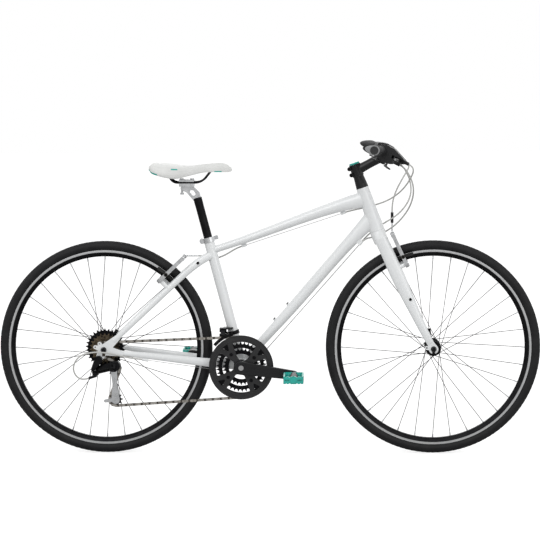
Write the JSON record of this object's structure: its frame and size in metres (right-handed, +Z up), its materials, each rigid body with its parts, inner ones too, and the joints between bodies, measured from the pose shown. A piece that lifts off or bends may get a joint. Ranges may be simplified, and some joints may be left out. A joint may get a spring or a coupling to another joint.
{
  "type": "hybrid bicycle",
  "caption": "Flat-bar hybrid bicycle with a sloping tube frame, rim brakes, derailleur gears, chain guard and winged grips; wheels, cranks, steering, levers and seatpost move.",
  "frame": {"origin": "on the ground under the middle of the wheelbase", "axes": "+X forward, +Y to the rider's left, +Z up"},
  "size_m": [1.7359, 0.6102, 0.9999],
  "materials": {
    "white_paint": "gloss",
    "teal_paint": "gloss",
    "black_alloy": "satin",
    "silver_alloy": "satin",
    "steel": "satin",
    "spoke_steel": "polished",
    "tyre": "matte",
    "grip_rubber": "matte",
    "grey_plastic": "matte",
    "saddle_cover": "satin",
    "housing": "satin",
    "dark_steel": "satin"
  },
  "bodies": {
    "frame-body": {"head_tube": "white_paint", "top_tube": "white_paint", "down_tube": "white_paint", "seat_tube": "white_paint", "chainstays": "white_paint", "seatstays": "white_paint", "bottom_bracket": "steel", "seat_collar": "silver_alloy", "rear_axle": "steel", "chain": "steel", "front_derailleur_mount": "silver_alloy", "rear_derailleur_mount": "black_alloy", "frame_cables": "housing"},
    "steering-body": {"fork": "white_paint", "headset": "black_alloy", "stem": "black_alloy", "handlebar": "black_alloy", "grips": "grip_rubber", "lever_brackets": "black_alloy", "front_axle": "steel", "steering_housings": "housing"},
    "front-wheel": {"front_hub": "silver_alloy", "front_rim": "black_alloy", "front_tyre": "tyre"},
    "rear-wheel": {"rear_hub": "silver_alloy", "rear_rim": "black_alloy", "rear_tyre": "tyre"},
    "crankset": {"right_crank": "silver_alloy", "chainrings": "dark_steel", "chain_guard": "grey_plastic", "left_crank": "silver_alloy", "crank_spindle": "steel"},
    "cassette-body": {"cassette": "dark_steel"},
    "right-pedal-body": {"right_pedal": "teal_paint"},
    "left-pedal-body": {"left_pedal": "teal_paint"},
    "rear-outer-link": {"rear_derailleur_outer_link": "black_alloy"},
    "rear-inner-link": {"rear_derailleur_inner_link": "black_alloy"},
    "rear-knuckle": {"rear_derailleur_knuckle": "black_alloy"},
    "rear-cage": {"rear_derailleur_cage": "steel"},
    "guide-pulley-body": {"guide_pulley": "grey_plastic"},
    "tension-pulley-body": {"tension_pulley": "grey_plastic"},
    "front-outer-link": {"front_derailleur_outer_link": "silver_alloy"},
    "front-inner-link": {"front_derailleur_inner_link": "silver_alloy"},
    "front-cage": {"front_derailleur_cage": "steel"},
    "front-release": {"front_quick_release_lever": "black_alloy"},
    "rear-release": {"rear_quick_release_lever": "black_alloy"},
    "collar-lever": {"seat_collar_lever": "silver_alloy"},
    "seat-body": {"seatpost": "silver_alloy", "saddle_frame": "grey_plastic", "saddle_cushion": "saddle_cover"},
    "right-brake-lever": {"right_brake_lever": "silver_alloy"},
    "right-shift-lever": {"right_shift_lever": "grey_plastic"},
    "right-shift-trigger": {"right_shift_trigger": "grey_plastic"},
    "front-brake-arm-right": {"front_brake_arm_right": "silver_alloy"},
    "rear-brake-arm-right": {"rear_brake_arm_right": "silver_alloy"},
    "left-brake-lever": {"left_brake_lever": "silver_alloy"},
    "left-shift-lever": {"left_shift_lever": "grey_plastic"},
    "left-shift-trigger": {"left_shift_trigger": "grey_plastic"},
    "front-brake-arm-left": {"front_brake_arm_left": "silver_alloy"},
    "rear-brake-arm-left": {"rear_brake_arm_left": "silver_alloy"}
  },
  "joints": [
    {"name": "steering", "type": "hinge", "parent": "frame-body", "child": "steering-body", "pos_m": [0.3467, 0, 0.7183], "axis": [-0.3256, 0, 0.9455], "range_deg": [-60, 60], "deforming": ["steering_housings"]},
    {"name": "front_wheel_spin", "type": "hinge", "parent": "steering-body", "child": "front-wheel", "pos_m": [0.525, 0, 0.343], "axis": [0, 1, 0], "continuous": true},
    {"name": "rear_wheel_spin", "type": "hinge", "parent": "frame-body", "child": "rear-wheel", "pos_m": [-0.525, 0, 0.343], "axis": [0, 1, 0], "continuous": true},
    {"name": "crank_spin", "type": "hinge", "parent": "frame-body", "child": "crankset", "pos_m": [-0.087, 0, 0.286], "axis": [0, 1, 0], "continuous": true, "deforming": ["chain"]},
    {"name": "cassette_spin", "type": "hinge", "parent": "frame-body", "child": "cassette-body", "pos_m": [-0.525, 0, 0.343], "axis": [0, 1, 0], "continuous": true},
    {"name": "right_pedal_spin", "type": "hinge", "parent": "crankset", "child": "right-pedal-body", "pos_m": [0.08147, -0.14, 0.26322], "axis": [0, 1, 0], "continuous": true},
    {"name": "left_pedal_spin", "type": "hinge", "parent": "crankset", "child": "left-pedal-body", "pos_m": [-0.25547, 0.14, 0.30878], "axis": [0, 1, 0], "continuous": true},
    {"name": "rear_derailleur_shift", "type": "hinge", "parent": "frame-body", "child": "rear-outer-link", "pos_m": [-0.547, -0.079, 0.283], "axis": [0, 0.6264, 0.7795], "range_deg": [0, 48.97], "deforming": ["chain", "frame_cables"]},
    {"name": "rear_inner_link_turn", "type": "hinge", "parent": "frame-body", "child": "rear-inner-link", "pos_m": [-0.547, -0.06731, 0.2736], "axis": [0, 0.6264, 0.7795], "range_deg": [0, 48.97]},
    {"name": "rear_knuckle_turn", "type": "hinge", "parent": "rear-outer-link", "child": "rear-knuckle", "pos_m": [-0.49968, -0.0958, 0.2965], "axis": [0, 0.6264, 0.7795], "range_deg": [-48.97, 0]},
    {"name": "rear_cage_swing", "type": "hinge", "parent": "rear-knuckle", "child": "rear-cage", "pos_m": [-0.486, -0.075, 0.294], "axis": [0, 1, 0], "range_deg": [-40, 15], "stiffness_Nm_per_rad": 0.8, "deforming": ["chain"]},
    {"name": "guide_pulley_spin", "type": "hinge", "parent": "rear-cage", "child": "guide-pulley-body", "pos_m": [-0.494, -0.06, 0.283], "axis": [0, 1, 0], "continuous": true},
    {"name": "tension_pulley_spin", "type": "hinge", "parent": "rear-cage", "child": "tension-pulley-body", "pos_m": [-0.4896, -0.06, 0.1821], "axis": [0, 1, 0], "continuous": true},
    {"name": "front_derailleur_shift", "type": "hinge", "parent": "frame-body", "child": "front-outer-link", "pos_m": [-0.146, -0.037, 0.4], "axis": [1, 0, 0], "range_deg": [0, 60], "deforming": ["chain", "frame_cables"]},
    {"name": "front_inner_link_turn", "type": "hinge", "parent": "frame-body", "child": "front-inner-link", "pos_m": [-0.146, -0.025, 0.4], "axis": [1, 0, 0], "range_deg": [0, 60]},
    {"name": "front_cage_turn", "type": "hinge", "parent": "front-outer-link", "child": "front-cage", "pos_m": [-0.146, -0.045, 0.38614], "axis": [1, 0, 0], "range_deg": [-60, 0]},
    {"name": "right_brake_squeeze", "type": "hinge", "parent": "steering-body", "child": "right-brake-lever", "pos_m": [0.39708, -0.16106, 0.95479], "axis": [-0.4443, 0.036, -0.8951], "range_deg": [0, 17], "stiffness_Nm_per_rad": 1.2, "springref_deg": -17.19},
    {"name": "right_shift_push", "type": "hinge", "parent": "steering-body", "child": "right-shift-lever", "pos_m": [0.35651, -0.13563, 0.93909], "axis": [0.4443, -0.036, 0.8951], "range_deg": [0, 40], "stiffness_Nm_per_rad": 0.5, "springref_deg": -11.46},
    {"name": "right_shift_pull", "type": "hinge", "parent": "steering-body", "child": "right-shift-trigger", "pos_m": [0.36987, -0.12926, 0.92713], "axis": [-0.4443, 0.036, -0.8951], "range_deg": [0, 20], "stiffness_Nm_per_rad": 0.5, "springref_deg": -11.46},
    {"name": "left_brake_squeeze", "type": "hinge", "parent": "steering-body", "child": "left-brake-lever", "pos_m": [0.39708, 0.16106, 0.95479], "axis": [0.4443, 0.036, 0.8951], "range_deg": [0, 17], "stiffness_Nm_per_rad": 1.2, "springref_deg": -17.19},
    {"name": "left_shift_push", "type": "hinge", "parent": "steering-body", "child": "left-shift-lever", "pos_m": [0.35651, 0.13563, 0.93909], "axis": [-0.4443, -0.036, -0.8951], "range_deg": [0, 40], "stiffness_Nm_per_rad": 0.5, "springref_deg": -11.46},
    {"name": "left_shift_pull", "type": "hinge", "parent": "steering-body", "child": "left-shift-trigger", "pos_m": [0.36987, 0.12926, 0.92713], "axis": [0.4443, 0.036, 0.8951], "range_deg": [0, 20], "stiffness_Nm_per_rad": 0.5, "springref_deg": -11.46},
    {"name": "rear_brake_arm_right_swing", "type": "hinge", "parent": "frame-body", "child": "rear-brake-arm-right", "pos_m": [-0.34523, -0.041, 0.56323], "axis": [-0.6884, 0, 0.7254], "range_deg": [0, 3]},
    {"name": "rear_brake_arm_left_swing", "type": "hinge", "parent": "frame-body", "child": "rear-brake-arm-left", "pos_m": [-0.34523, 0.041, 0.56323], "axis": [0.6884, 0, -0.7254], "range_deg": [0, 3], "deforming": ["frame_cables"]},
    {"name": "front_brake_arm_right_swing", "type": "hinge", "parent": "steering-body", "child": "front-brake-arm-right", "pos_m": [0.43845, -0.041, 0.61379], "axis": [-0.9063, 0, -0.4226], "range_deg": [0, 3]},
    {"name": "front_brake_arm_left_swing", "type": "hinge", "parent": "steering-body", "child": "front-brake-arm-left", "pos_m": [0.43845, 0.041, 0.61379], "axis": [0.9063, 0, 0.4226], "range_deg": [0, 3], "deforming": ["steering_housings"]},
    {"name": "front_release", "type": "hinge", "parent": "steering-body", "child": "front-release", "pos_m": [0.525, 0.0673, 0.343], "axis": [-0.9781, 0, -0.2079], "range_deg": [0, 165]},
    {"name": "rear_release", "type": "hinge", "parent": "frame-body", "child": "rear-release", "pos_m": [-0.525, 0.0853, 0.343], "axis": [-0.866, 0, 0.5], "range_deg": [0, 165]},
    {"name": "collar_release", "type": "hinge", "parent": "frame-body", "child": "collar-lever", "pos_m": [-0.21328, 0.0225, 0.68351], "axis": [-0.2521, 0, 0.9677], "range_deg": [0, 165]},
    {"name": "seatpost_slide", "type": "slide", "parent": "frame-body", "child": "seat-body", "axis": [-0.2521, 0, 0.9677], "range_m": [-0.1, 0.07]}
  ],
  "couplings": [
    {"joint": "cassette_spin", "follows": "crank_spin", "ratio": 4.3636},
    {"joint": "guide_pulley_spin", "follows": "crank_spin", "ratio": -4.8},
    {"joint": "tension_pulley_spin", "follows": "crank_spin", "ratio": 4.8},
    {"joint": "rear_inner_link_turn", "follows": "rear_derailleur_shift", "ratio": 1},
    {"joint": "rear_knuckle_turn", "follows": "rear_derailleur_shift", "ratio": -1},
    {"joint": "front_inner_link_turn", "follows": "front_derailleur_shift", "ratio": 1},
    {"joint": "front_cage_turn", "follows": "front_derailleur_shift", "ratio": -1},
    {"joint": "rear_brake_arm_right_swing", "follows": "right_brake_squeeze", "ratio": 0.15294},
    {"joint": "rear_brake_arm_left_swing", "follows": "right_brake_squeeze", "ratio": 0.15294},
    {"joint": "front_brake_arm_right_swing", "follows": "left_brake_squeeze", "ratio": 0.15294},
    {"joint": "front_brake_arm_left_swing", "follows": "left_brake_squeeze", "ratio": 0.15294}
  ]
}
